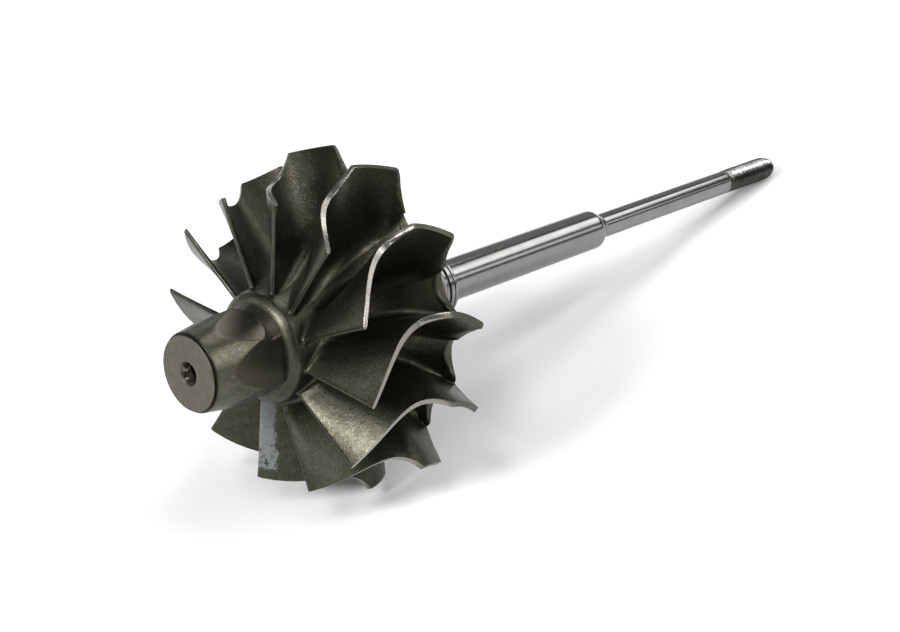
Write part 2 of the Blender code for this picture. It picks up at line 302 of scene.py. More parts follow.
# Studio: each light's direction in degrees, half width and height in degrees, and irradiance
FLOOR_SHADE = 0.9
FLOOR_ROUGHNESS = 0.9
FLOOR_REACH = 3.0
AMBIENT = 0.045
LIT_POINT = (0.0, -0.05, 0.035)
LIGHT_DISTANCE = 3.0
SOFT_LIGHTS = (
    ("key", -97.0, 37.5, 8.0, 8.0, 2.56),
    ("low_front", -75.0, 15.0, 8.0, 8.0, 0.33),
    ("high_front", -68.0, 58.0, 7.0, 7.0, 0.82),
    ("top_right", -20.0, 70.0, 9.0, 9.0, 0.21),
    ("top_left", -145.0, 63.0, 8.0, 8.0, 0.14),
    ("left", -140.0, 30.0, 8.0, 8.0, 0.2),
    ("low_left", -150.0, 12.0, 9.0, 9.0, 0.2),
    ("behind_left", 170.0, 12.0, 15.0, 15.0, 0.2),
    ("left_rear", 145.0, 26.0, 8.0, 8.0, 0.14),
    ("near_camera", 1.0, 27.5, 7.0, 7.0, 0.29),
    ("right", 36.0, 21.5, 11.0, 11.0, 0.86),
    ("right_high", 36.0, 41.0, 6.0, 6.0, 0.5),
    ("right_rear", 52.0, 30.0, 7.0, 7.0, 0.13),
    ("right_rear_low", 54.0, 12.0, 6.0, 4.0, 0.06),
    ("behind", 76.0, 29.0, 14.0, 5.5, 0.4),
    ("behind_high", 95.0, 60.0, 9.0, 9.0, 0.32),
    ("behind_upper", 109.0, 42.0, 7.0, 7.0, 0.42),
    ("behind_low", 106.0, 5.0, 8.0, 5.0, 0.12),
    ("shaft_top", 118.0, 16.0, 16.0, 13.0, 0.085),
)


def spread(start, end, steps):
    """Evenly spaced values, both ends included."""
    return [start + (end - start) * step / steps for step in range(steps + 1)]


PLACE_TURN = -radians(90.0 + RESTING_TILT)
PLACE = Matrix.Translation(NOSE_PLACE) @ Matrix.Rotation(PLACE_TURN, 4, "X")


# Node helpers

def add_node(tree, kind, inputs=None, **settings):
    """A new node with its settings, each input linked to a socket or set to a value."""
    made = tree.nodes.new(kind)
    for name, value in settings.items():
        setattr(made, name, value)
    for name, value in (inputs or {}).items():
        if isinstance(value, bpy.types.NodeSocket):
            tree.links.new(value, made.inputs[name])
        else:
            made.inputs[name].default_value = value
    return made


def calculate(tree, operation, first, second=0.0, third=0.0, clamp=False):
    """The result of one sum on up to three numbers or sockets."""
    made = add_node(tree, "ShaderNodeMath", {0: first, 1: second, 2: third}, operation=operation)
    made.use_clamp = clamp
    return made.outputs[0]


def remap(tree, value, low, high, new_low=0.0, new_high=1.0):
    """A value stretched from one range to another, and held at its ends."""
    made = add_node(tree, "ShaderNodeMapRange", {
        "Value": value, "From Min": low, "From Max": high, "To Min": new_low, "To Max": new_high})
    return made.outputs["Result"]


def blend_colours(tree, factor, first, second):
    """A colour that goes from the first to the second as the factor goes from nought to one."""
    made = tree.nodes.new("ShaderNodeMix")
    made.data_type = "RGBA"
    for socket, value in ((made.inputs[0], factor), (made.inputs[6], first), (made.inputs[7], second)):
        if isinstance(value, bpy.types.NodeSocket):
            tree.links.new(value, socket)
        else:
            socket.default_value = value
    return made.outputs[2]


def new_material(name):
    """A material, its node tree and its shader."""
    material = bpy.data.materials.new(name)
    material.use_nodes = True
    tree = material.node_tree
    return material, tree, tree.nodes["Principled BSDF"]


def rotor_coordinates(tree):
    """Position on the rotor in millimetres, with Z along its axis from the nose face."""
    where = add_node(tree, "ShaderNodeTexCoord")
    turned = add_node(tree, "ShaderNodeMapping", {
        "Vector": where.outputs["Object"], "Location": NOSE_PLACE,
        "Rotation": (PLACE_TURN, 0.0, 0.0), "Scale": (MM, MM, MM)}, vector_type="TEXTURE")
    return turned.outputs["Vector"]


def noise(tree, coordinates, scale, detail, roughness, stretch=None):
    """Cloudy noise, drawn out across the directions that stretch makes small."""
    if stretch is not None:
        stretched = add_node(tree, "ShaderNodeMapping", {"Vector": coordinates, "Scale": stretch})
        coordinates = stretched.outputs["Vector"]
    made = add_node(tree, "ShaderNodeTexNoise", {
        "Vector": coordinates, "Scale": scale, "Detail": detail, "Roughness": roughness})
    return made.outputs["Fac"]


def radius_of(tree, coordinates):
    """Distance from the rotor's axis, and distance along it, in millimetres."""
    parts = add_node(tree, "ShaderNodeSeparateXYZ", {"Vector": coordinates})
    squares = calculate(tree, "MULTIPLY_ADD", parts.outputs["X"], parts.outputs["X"],
                        calculate(tree, "MULTIPLY", parts.outputs["Y"], parts.outputs["Y"]))
    return calculate(tree, "SQRT", squares), parts.outputs["Z"]


# Finishes

def cast_skin():
    """Investment-cast nickel alloy: dark olive grey and grainy, bare metal on the machined edges,
    smooth on the ground flats; brighter on the nose, a painted highlight; painted shade in the groove
    behind the face and near black in the centre hole's pilot."""
    material, tree, shader = new_material("cast_nickel_alloy")
    where = rotor_coordinates(tree)
    radius, along = radius_of(tree, where)
    broad = noise(tree, where, 0.13, 5.0, 0.6)
    patches = noise(tree, where, 0.6, 6.0, 0.65)
    grain = noise(tree, where, 1.9, 4.0, 0.6)
    shade = remap(tree, broad, 0.35, 0.68)
    colour = blend_colours(tree, shade, CAST_DARK, CAST_LIGHT)
    colour = blend_colours(tree, remap(tree, patches, 0.45, 0.75, 0.0, 0.5), colour, CAST_PATCH)
    colour = blend_colours(tree, remap(tree, grain, 0.52, 0.78, 0.0, 0.55), colour, CAST_GRAIN)

    machined = add_node(tree, "ShaderNodeAttribute", attribute_name="machined").outputs["Fac"]
    lines = noise(tree, where, 1.0, 3.0, 0.5, stretch=(0.6, 0.6, 9.0))
    bare = blend_colours(tree, remap(tree, lines, 0.3, 0.7), BARE_DARK, BARE_LIGHT)
    colour = blend_colours(tree, machined, colour, bare)

    # Painted highlight: the casting's colour is brightened on the nose
    brightness = remap(tree, along, NECK_BOTTOM, COLLAR_START, NOSE_PAINTED_HIGHLIGHT, WHEEL_BRIGHTNESS)
    # Painted shade: darker in the groove just behind the face
    groove = remap(tree, along, NOSE_START + NOSE_GROOVE_START, NOSE_START + NOSE_GROOVE_END,
                   NOSE_GROOVE_PAINTED_SHADE, 1.0)
    brightness = calculate(tree, "MULTIPLY", brightness, groove)
    scaled = add_node(tree, "ShaderNodeVectorMath", {0: colour, "Scale": brightness}, operation="SCALE")
    colour = scaled.outputs[0]

    ground = add_node(tree, "ShaderNodeAttribute", attribute_name="ground_depth").outputs["Fac"]
    ground = remap(tree, ground, GROUND_START, GROUND_FULL)
    colour = blend_colours(tree, ground, colour, blend_colours(tree, shade, FLAT_DARK, FLAT_LIGHT))
    # Painted shade: the centre hole's pilot is coloured near black; its drilled cone keeps a lighter
    # metal colour
    drilled = remap(tree, radius, HOLE_MOUTH_RADIUS + 0.2, HOLE_MOUTH_RADIUS + 0.3, 1.0, 0.0)
    past_pilot = remap(tree, radius, HOLE_PILOT_RADIUS + 0.05, HOLE_PILOT_RADIUS + 0.25)
    hole = blend_colours(tree, past_pilot, HOLE_PAINTED_SHADE, HOLE_SLOPE)
    colour = blend_colours(tree, drilled, colour, hole)
    paint = paint_mark(tree, where)
    painted = blend_colours(tree, remap(tree, grain, 0.35, 0.7), PAINT_DARK, PAINT_LIGHT)
    colour = blend_colours(tree, paint, colour, painted)
    tree.links.new(colour, shader.inputs["Base Color"])

    rough = remap(tree, patches, 0.3, 0.7, 0.4, 0.28)
    rough = calculate(tree, "MULTIPLY_ADD", machined, -0.08, rough)
    rough = calculate(tree, "MULTIPLY_ADD", paint, 0.15, rough)
    rough = calculate(tree, "MULTIPLY_ADD", drilled, -0.22, rough)
    tree.links.new(rough, shader.inputs["Roughness"])
    tree.links.new(calculate(tree, "MULTIPLY_ADD", paint, -0.85, 0.88), shader.inputs["Metallic"])

    pits = add_node(tree, "ShaderNodeTexVoronoi", {"Vector": where, "Scale": 1.1})
    height = calculate(tree, "MULTIPLY_ADD", grain, 0.7, calculate(tree, "MULTIPLY", patches, 0.8))
    height = calculate(tree, "MULTIPLY_ADD", pits.outputs["Distance"], 0.12, height)
    height = calculate(tree, "MULTIPLY_ADD", noise(tree, where, 4.2, 2.0, 0.5), 0.22, height)
    smoothed = calculate(tree, "MAXIMUM", machined, calculate(tree, "MAXIMUM", ground, drilled))
    strength = remap(tree, smoothed, 0.0, 1.0, 0.5, 0.04)
    bump = add_node(tree, "ShaderNodeBump", {
        "Height": height, "Distance": CAST_BUMP * MM, "Strength": strength})
    tree.links.new(bump.outputs["Normal"], shader.inputs["Normal"])
    return material


def paint_mark(tree, where):
    """Mask of the ragged balance mark painted on one blade beside its trailing edge."""
    number = add_node(tree, "ShaderNodeAttribute", attribute_name="blade_number").outputs["Fac"]
    this_blade = calculate(tree, "COMPARE", number, MARK_BLADE, 0.5)
    along = add_node(tree, "ShaderNodeAttribute", attribute_name="from_edge").outputs["Fac"]
    along = calculate(tree, "MULTIPLY", along, MARK_SIDE)
    radius, _ = radius_of(tree, where)
    ragged = noise(tree, where, 0.55, 5.0, 0.65)
    ragged = calculate(tree, "MULTIPLY_ADD", ragged, MARK_RAGGEDNESS, -MARK_RAGGEDNESS / 2)
    reach = calculate(tree, "ADD", along, ragged)
    right = remap(tree, reach, MARK_WIDTH - MARK_SIDE_FADE, MARK_WIDTH + MARK_SIDE_FADE, 1.0, 0.0)
    left = remap(tree, along, MARK_EDGE_START, MARK_EDGE_FULL)
    ends = calculate(tree, "ADD", radius, calculate(tree, "MULTIPLY", ragged, 0.6))
    low = remap(tree, ends, MARK_START - MARK_START_FADE, MARK_START + MARK_START_FADE)
    high = remap(tree, ends, MARK_END - MARK_END_FADE, MARK_END + MARK_END_FADE, 1.0, 0.0)
    worn = noise(tree, where, 1.1, 6.0, 0.7)
    worn = remap(tree, calculate(tree, "MULTIPLY_ADD", radius, 0.012, worn), MARK_WORN, MARK_WHOLE)
    mask = calculate(tree, "MULTIPLY", this_blade, calculate(tree, "MULTIPLY", left, right))
    mask = calculate(tree, "MULTIPLY", mask, calculate(tree, "MULTIPLY", low, high))
    return calculate(tree, "MULTIPLY", mask, worn)


def turned_face_finish():
    """Turned nickel alloy on the nose face: warm grey, fine rings, painted shade in the groove at its
    edge.
    """
    material, tree, shader = new_material("turned_nickel_alloy")
    where = rotor_coordinates(tree)
    radius, along = radius_of(tree, where)
    rings_place = add_node(tree, "ShaderNodeCombineXYZ", {"X": radius, "Y": along})
    rings = noise(tree, rings_place.outputs["Vector"], 7.0, 3.0, 0.6)
    stain = noise(tree, where, 0.45, 5.0, 0.6)
    colour = blend_colours(tree, remap(tree, stain, 0.35, 0.7), FACE_DARK, FACE_LIGHT)
    colour = blend_colours(tree, remap(tree, rings, 0.35, 0.7, 0.0, 0.35), colour, FACE_RING)
    # Painted shade: the face's colour is darkened in the groove at its outer edge
    outer = remap(tree, radius, PAD_RADIUS - PAD_GROOVE_REACH, PAD_RADIUS - PAD_GROOVE_FULL)
    deep = remap(tree, along, PAD_GROOVE_FRONT, PAD_GROOVE_BACK)
    groove = calculate(tree, "MULTIPLY", outer, deep)
    colour = blend_colours(tree, groove, colour, FACE_GROOVE_PAINTED_SHADE)
    tree.links.new(colour, shader.inputs["Base Color"])
    tree.links.new(remap(tree, rings, 0.3, 0.7, 0.36, 0.5), shader.inputs["Roughness"])
    shader.inputs["Metallic"].default_value = 0.9
    bump = add_node(tree, "ShaderNodeBump", {
        "Height": rings, "Distance": FACE_BUMP * MM, "Strength": 0.35})
    tree.links.new(bump.outputs["Normal"], shader.inputs["Normal"])
    return material


def ground_steel_finish(name, dark, light, roughness, painted_highlight=None):
    """Ground steel with fine rings, and where asked a strip along its upper side painted lighter, a
    painted highlight.
    """
    material, tree, shader = new_material(name)
    where = rotor_coordinates(tree)
    rings = noise(tree, where, 1.0, 4.0, 0.6, stretch=(0.25, 0.25, 14.0))
    stain = noise(tree, where, 0.22, 4.0, 0.5)
    colour = blend_colours(tree, remap(tree, stain, 0.3, 0.7), dark, light)
    # Painted highlight: the strip along the upper side is painted in a lighter colour
    if painted_highlight:
        side = radians(HIGHLIGHT_STRIP_ANGLE)
        flat = add_node(tree, "ShaderNodeVectorMath", {0: where, 1: (1, 1, 0)}, operation="MULTIPLY")
        flat = add_node(tree, "ShaderNodeVectorMath", {0: flat.outputs[0]}, operation="NORMALIZE")
        facing = add_node(tree, "ShaderNodeVectorMath", {
            0: flat.outputs[0], 1: (cos(side), sin(side), 0)}, operation="DOT_PRODUCT")
        painted_highlight_mask = remap(tree, facing.outputs["Value"],
                      cos(radians(HIGHLIGHT_STRIP_REACH)), cos(radians(HIGHLIGHT_STRIP_REACH / 2)))
        colour = blend_colours(tree, painted_highlight_mask, colour, painted_highlight)
    tree.links.new(colour, shader.inputs["Base Color"])
    tree.links.new(remap(tree, rings, 0.3, 0.7, *roughness), shader.inputs["Roughness"])
    shader.inputs["Metallic"].default_value = 1.0
    bump = add_node(tree, "ShaderNodeBump", {
        "Height": rings, "Distance": STEEL_BUMP * MM, "Strength": 0.4})
    tree.links.new(bump.outputs["Normal"], shader.inputs["Normal"])
    return material


def weld_finish():
    """Weld bead: warm grey, rippled."""
    material, tree, shader = new_material("weld_bead")
    where = rotor_coordinates(tree)
    ripples = noise(tree, where, 0.9, 4.0, 0.6)
    colour = blend_colours(tree, remap(tree, ripples, 0.3, 0.7), BEAD_DARK, BEAD_LIGHT)
    tree.links.new(colour, shader.inputs["Base Color"])
    tree.links.new(remap(tree, ripples, 0.3, 0.7, 0.3, 0.5), shader.inputs["Roughness"])
    shader.inputs["Metallic"].default_value = 1.0
    bump = add_node(tree, "ShaderNodeBump", {
        "Height": ripples, "Distance": BEAD_BUMP * MM, "Strength": 0.6})
    tree.links.new(bump.outputs["Normal"], shader.inputs["Normal"])
    return material


# Mesh helpers

def ring_faces(first, second):
    """Faces between two rings of vertex numbers; a ring of one vertex is a pole."""
    count = max(len(first), len(second))
    faces = []
    for step in range(count):
        after = (step + 1) % count
        if len(first) == 1:
            faces.append((first[0], second[after], second[step]))
        elif len(second) == 1:
            faces.append((first[step], first[after], second[0]))
        else:
            faces.append((first[step], first[after], second[after], second[step]))
    return faces


def turned_mesh(name, outline_at, steps, first_angle=0.0):
    """Turns an outline about the axis; outline_at(angle) gives its (along, radius) points."""
    outlines = [outline_at(first_angle + 2 * pi * step / steps) for step in range(steps)]
    vertices = []
    rings = []
    for index in range(len(outlines[0])):
        ring = []
        for step, outline in enumerate(outlines):
            along, radius = outline[index]
            angle = first_angle + 2 * pi * step / steps
            ring.append(len(vertices))
            vertices.append((radius * cos(angle) * MM, radius * sin(angle) * MM, along * MM))
            if radius == 0.0:
                break
        rings.append(ring)
    faces = []
    for first, second in zip(rings, rings[1:]):
        faces += ring_faces(first, second)
    mesh = bpy.data.meshes.new(name)
    mesh.from_pydata(vertices, [], faces)
    return mesh


def eased(outline, ease):
    """Rounds the corners of an outline, with one more point on each side to keep flats flat."""
    result = [outline[0]]
    for before, corner, after in zip(outline, outline[1:], outline[2:]):
        here = Vector(corner)
        back = Vector(before) - here
        ahead = Vector(after) - here
        cut = min(ease, back.length / EASE_ROOM, ahead.length / EASE_ROOM)
        start = here + back.normalized() * cut
        end = here + ahead.normalized() * cut
        result.append(tuple(here + back.normalized() * cut * EASE_HOLD))
        for part in spread(0.0, 1.0, EASE_STEPS):
            point = start * (1 - part) ** 2 + here * 2 * part * (1 - part) + end * part ** 2
            result.append(tuple(point))
        result.append(tuple(here + ahead.normalized() * cut * EASE_HOLD))
    result.append(outline[-1])
    return result


def finish_piece(name, mesh, material, nodes):
    """Closes the mesh, turns its faces out, places it and makes it stand for its nodes."""
    work = bmesh.new()
    work.from_mesh(mesh)
    bmesh.ops.remove_doubles(work, verts=work.verts, dist=MERGE_DISTANCE * MM)
    bmesh.ops.dissolve_degenerate(work, edges=work.edges, dist=SLIVER * MM)
    bmesh.ops.recalc_face_normals(work, faces=work.faces)
    work.to_mesh(mesh)
    work.free()
    mesh.transform(PLACE)
    mesh.shade_smooth()
    mesh.set_sharp_from_angle(angle=radians(SHARP_ANGLE))
    mesh.materials.clear()
    mesh.materials.append(material)
    piece = bpy.data.objects.new(name, mesh)
    bpy.context.scene.collection.objects.link(piece)
    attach(piece, "root")
    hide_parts(*nodes)


# Wheel shape

def smooth_least(first, second, ease):
    """The lesser of two lengths, with the crease between them rounded."""
    part = max(ease - abs(first - second), 0.0) / ease
    return min(first, second) - part * part * ease / 4


def flare_radius(along):
    """Radius of the hub's surface between the blades."""
    if along <= HUB_START:
        part = (along - COLLAR_FULL) / (HUB_START - COLLAR_FULL)
        return COLLAR_RADIUS + (HUB_FRONT_RADIUS - COLLAR_RADIUS) * part
    if along <= FLARE_END:
        part = (along - HUB_START) / (FLARE_END - HUB_START)
        return HUB_FRONT_RADIUS + (FLARE_END_RADIUS - HUB_FRONT_RADIUS) * part ** HUB_FLARE
    part = min((along - FLARE_END) / WEB_RISE, WEB_LIMIT)
    return min(FLARE_END_RADIUS - WEB_RUN * log(1 - part), RIM_RADIUS)


def flare_along(radius):
    """Distance along the axis at which the hub's surface has this radius."""
    if radius <= FLARE_END_RADIUS:
        part = (radius - HUB_FRONT_RADIUS) / (FLARE_END_RADIUS - HUB_FRONT_RADIUS)
        return HUB_START + (FLARE_END - HUB_START) * part ** (1 / HUB_FLARE)
    return FLARE_END + WEB_RISE * (1 - exp(-(radius - FLARE_END_RADIUS) / WEB_RUN))


def back_along(radius):
    """Distance along the axis at which the wheel's sloping back has this radius."""
    part = (radius - BOSS_NECK_RADIUS) / (BACK_START_RADIUS - BOSS_NECK_RADIUS)
    return BACK_START + (BOSS_END - BACK_START) * (1 - part ** (1 / BACK_POWER))


def rim_radius(angle):
    """Radius of the back disc's scalloped rim in this direction."""
    step = 2 * pi / BLADE_COUNT
    middle = radians(BLADE_TRAILING_ANGLE + TURN_AT_BACK) + step / 2
    off = (angle - middle + step / 2) % step - step / 2
    across = SCALLOP_CENTRE * sin(off)
    if abs(across) >= SCALLOP_RADIUS:
        return RIM_RADIUS
    cut = SCALLOP_CENTRE * cos(off) - sqrt(SCALLOP_RADIUS ** 2 - across ** 2)
    return smooth_least(cut, RIM_RADIUS, SCALLOP_EASE)


def cone_radius(along):
    """Radius of the nose's cone, with its rounded front edge."""
    cone = CONE_START_RADIUS + CONE_TAPER * (along - NOSE_START)
    return cone - CONE_EDGE_DROP * max(1 - (along - NOSE_START) / CONE_EDGE_LENGTH, 0.0) ** 2


def neck_share(angle):
    """One where the nose is drawn in to the neck behind it, nought elsewhere."""
    turn = angle % (2 * pi)
    start = (turn - radians(NECK_FROM_ANGLE)) / radians(NECK_FADE)
    end = (radians(NECK_TO_ANGLE) - turn) / radians(NECK_FADE)
    part = min(max(min(start, end), 0.0), 1.0)
    return part * part * (3 - 2 * part)


def nose_radius(along, angle):
    """Radius of the cone with its six flats, drawn in towards the neck."""
    off = (angle - radians(HEX_CORNER_ANGLE)) % (pi / 3) - pi / 6
    flat = HEX_APOTHEM - HEX_FALL * along
    radius = smooth_least(cone_radius(along), flat / cos(off), HEX_EASE)
    share = neck_share(angle)
    if along > NECK_START and share > 0:
        if along > NECK_BOTTOM:
            rise = (along - NECK_BOTTOM) / (COLLAR_START - NECK_BOTTOM)
            drawn = NECK_RADIUS + (COLLAR_FOOT_RADIUS - NECK_RADIUS) * rise ** NECK_CURVE
        else:
            part = (NECK_BOTTOM - along) / (NECK_BOTTOM - NECK_START)
            neck = NECK_RADIUS + (NECK_START_RADIUS - NECK_RADIUS) * sqrt(part)
            drawn = smooth_least(radius, neck, HEX_EASE)
        radius += (drawn - radius) * share
    return min(radius, COLLAR_FOOT_RADIUS + max(COLLAR_START - along, 0.0))


def collar_outline():
    """The collar's front, a cone with a rounded brow, from its foot to its full radius."""
    outline = []
    foot = COLLAR_FOOT_RADIUS + COLLAR_STEP
    for part in spread(0.0, 1.0, COLLAR_ROWS):
        turn = part * pi / 2
        forward = part + (1 - cos(turn) - part) * COLLAR_ROUNDING
        outward = part + (sin(turn) - part) * COLLAR_ROUNDING
        outline.append((COLLAR_START + (COLLAR_FULL - COLLAR_START) * forward,
                        foot + (COLLAR_RADIUS - foot) * outward))
    return outline


def body_outline(angle):
    """The wheel casting's outline in one direction, from the centre hole to the weld."""
    slope = (HOLE_MOUTH_RADIUS - HOLE_PILOT_RADIUS) / HOLE_CONE_DEPTH
    outline = [
        (HOLE_DEPTH, 0.0), (HOLE_DEPTH - HOLE_END_LENGTH, HOLE_PILOT_RADIUS),
        (HOLE_CONE_DEPTH, HOLE_PILOT_RADIUS),
        (NOSE_START, HOLE_MOUTH_RADIUS - slope * NOSE_START),
    ]
    stations = spread(NOSE_START, NOSE_START + FINE_STRETCH, CONE_EDGE_ROWS)[:-1]
    stations += spread(NOSE_START + FINE_STRETCH, NECK_START, NOSE_ROWS)[:-1]
    stations += spread(NECK_START, NECK_BOTTOM - FINE_STRETCH, NECK_ROWS)[:-1]
    stations += spread(NECK_BOTTOM - FINE_STRETCH, NECK_BOTTOM, NECK_BOTTOM_ROWS)
    stations += spread(NECK_BOTTOM, COLLAR_START, NECK_RISE_ROWS)[1:]
    outline += [(along, nose_radius(along, angle)) for along in stations]
    outline += collar_outline()
    hub = spread(COLLAR_FULL, HUB_START, HUB_FRONT_ROWS)[1:]
    hub += spread(HUB_START, FLARE_END - WEB_LENGTH, HUB_ROWS)[1:]
    outline += [(along, flare_radius(along)) for along in hub]
    rim = rim_radius(angle)
    low = rim - RIM_EASE
    front = flare_along(low)
    for radius in spread(outline[-1][1], low, WEB_ROWS)[1:]:
        outline.append((flare_along(radius), radius))
    wall_end = low
    wall_along = back_along(low)
    for _ in range(WALL_TRIES):
        wall_end = rim - SCALLOP_TAPER * max(wall_along - front - RIM_EASE, 0.0)
        wall_along = (wall_along + back_along(wall_end)) / 2
    for turn in spread(0.0, pi / 2, RIM_ROWS)[1:]:
        outline.append((front + RIM_EASE * (1 - cos(turn)), low + RIM_EASE * sin(turn)))
    span = wall_along - front - RIM_EASE
    outline.append((front + RIM_EASE + span / 2, rim + (wall_end - rim) / 2))
    for onward, outward in RIM_BACK_EDGE:
        outline.append((wall_along + RIM_EASE * onward, wall_end + RIM_EASE * outward))
    back_reach = wall_end - RIM_EASE * BACK_EDGE_END - BOSS_NECK_RADIUS
    for part in spread(0.0, 1.0, BACK_ROWS)[1:]:
        radius = BOSS_NECK_RADIUS + back_reach * (1 - part) ** BACK_CROWDING
        outline.append((back_along(radius), radius))
    outline.append((BOSS_END, 0.0))
    return outline


# Blade shape

def tip_radius(along):
    """Radius of the machined shroud line, then of the inducer edge."""
    if along <= INDUCER_FRONT:
        part = max(along - TRAILING_EDGE, 0.0) / (INDUCER_FRONT - TRAILING_EDGE)
        return TRAILING_RADIUS + (INDUCER_FRONT_RADIUS - TRAILING_RADIUS) * part ** SHROUD_POWER
    part = (along - INDUCER_FRONT) / (BLADE_BACK - INDUCER_FRONT)
    radius = INDUCER_FRONT_RADIUS + (INDUCER_BACK_RADIUS - INDUCER_FRONT_RADIUS) * part
    past = (along - (BLADE_BACK - CORNER_LENGTH)) / CORNER_LENGTH
    if past > 0:
        radius -= CORNER_DROP * (1 - sqrt(1 - min(past, 1.0) ** 2))
    return radius


def blade_turn(along):
    """Angle by which the blade has turned about the axis, and its rate per millimetre."""
    length = BLADE_BACK - TRAILING_EDGE
    part = min((along - TRAILING_EDGE) / length, 1.0)
    front = TURN_RATE_FRONT * length
    back = TURN_RATE_BACK * length
    cubic = front + back - 2 * TURN_AT_BACK
    square = 3 * TURN_AT_BACK - 2 * front - back
    angle = cubic * part ** 3 + square * part ** 2 + front * part
    rate = (3 * cubic * part ** 2 + 2 * square * part + front) / length
    if along >= BLADE_BACK:
        rate = 0.0
    return radians(angle), radians(rate)


def fillet_width(above_hub, fillet):
    """How far a root fillet stands out from the blade at this height above the hub."""
    if above_hub >= fillet:
        return 0.0
    return fillet - sqrt(fillet ** 2 - (fillet - above_hub) ** 2)


def blade_stations():
    """Pairs of distances along the axis, at the blade's root and at its tip."""
    front = [(row, row) for row in EDGE_ROWS]
    rear = [(-row, -row) for row in reversed(EDGE_ROWS)]
    middle = []
    start = TRAILING_EDGE + EDGE_ROUND
    for part in spread(0.0, 1.0, SHROUD_ROWS)[:-1]:
        reach = 1 - (1 - part) ** SHROUD_CROWDING
        middle.append((start + FRONT_ROOT_LENGTH * part, start + (INDUCER_FRONT - start) * reach))
    root_from = start + FRONT_ROOT_LENGTH
    root_to = BLADE_BACK_ROOT - EDGE_ROUND
    tip_to = BLADE_BACK - EDGE_ROUND
    for part in spread(0.0, 1.0, INDUCER_ROWS):
        root_reach = 1 - (1 - part) ** REAR_ROOT_CROWDING
        tip_reach = 1 - (1 - part) ** REAR_TIP_CROWDING
        middle.append((root_from + (root_to - root_from) * root_reach,
                       INDUCER_FRONT + (tip_to - INDUCER_FRONT) * tip_reach))
    return front, middle, rear


def blade_mesh():
    """One blade: two skins that meet round its edges, flared into the hub at the root."""
    front, middle, rear = blade_stations()
    stations = [("front", a, b) for a, b in front] + [("middle", a, b) for a, b in middle]
    stations += [("rear", a, b) for a, b in rear]
    work = bmesh.new()
    from_edge = work.verts.layers.float.new("from_edge")
    machined = work.loops.layers.float.new("machined")
    edge_faces = []
    skins = []
    for side in (1, -1):
        grid = []
        for kind, at_root, at_tip in stations:
            row = []
            for level in range(len(FILLET_HEIGHTS) + UPPER_ROWS + 1):
                row.append(blade_vertex(work, from_edge, side, kind, at_root, at_tip, level))
            grid.append(row)
        skins.append(grid)
    rows = len(stations)
    columns = len(skins[0][0])
    for grid in skins:
        for row in range(rows - 1):
            for column in range(columns - 1):
                work.faces.new((grid[row][column], grid[row + 1][column],
                                grid[row + 1][column + 1], grid[row][column + 1]))
    first, second = skins
    for row in range(rows - 1):
        for column in (0, columns - 1):
            face = work.faces.new((first[row][column], first[row + 1][column],
                                   second[row + 1][column], second[row][column]))
            if column:
                edge_faces.append(face)
    for row in range(rows - 1):
        for grid in skins:
            edge_faces.append(work.faces.get((grid[row][columns - 2], grid[row + 1][columns - 2],
                                              grid[row + 1][columns - 1], grid[row][columns - 1])))
    for face in edge_faces:
        for loop in face.loops:
            past = (loop.vert.co.z / MM - MACHINED_END) / MACHINED_FADE
            loop[machined] = 1 - MACHINED_LOSS * min(max(past, 0.0), 1.0)
    for row in (0, rows - 1):
        for column in range(columns - 1):
            work.faces.new((first[row][column], first[row][column + 1],
                            second[row][column + 1], second[row][column]))
    mesh = bpy.data.meshes.new("blade")
    work.to_mesh(mesh)
    work.free()
    return mesh


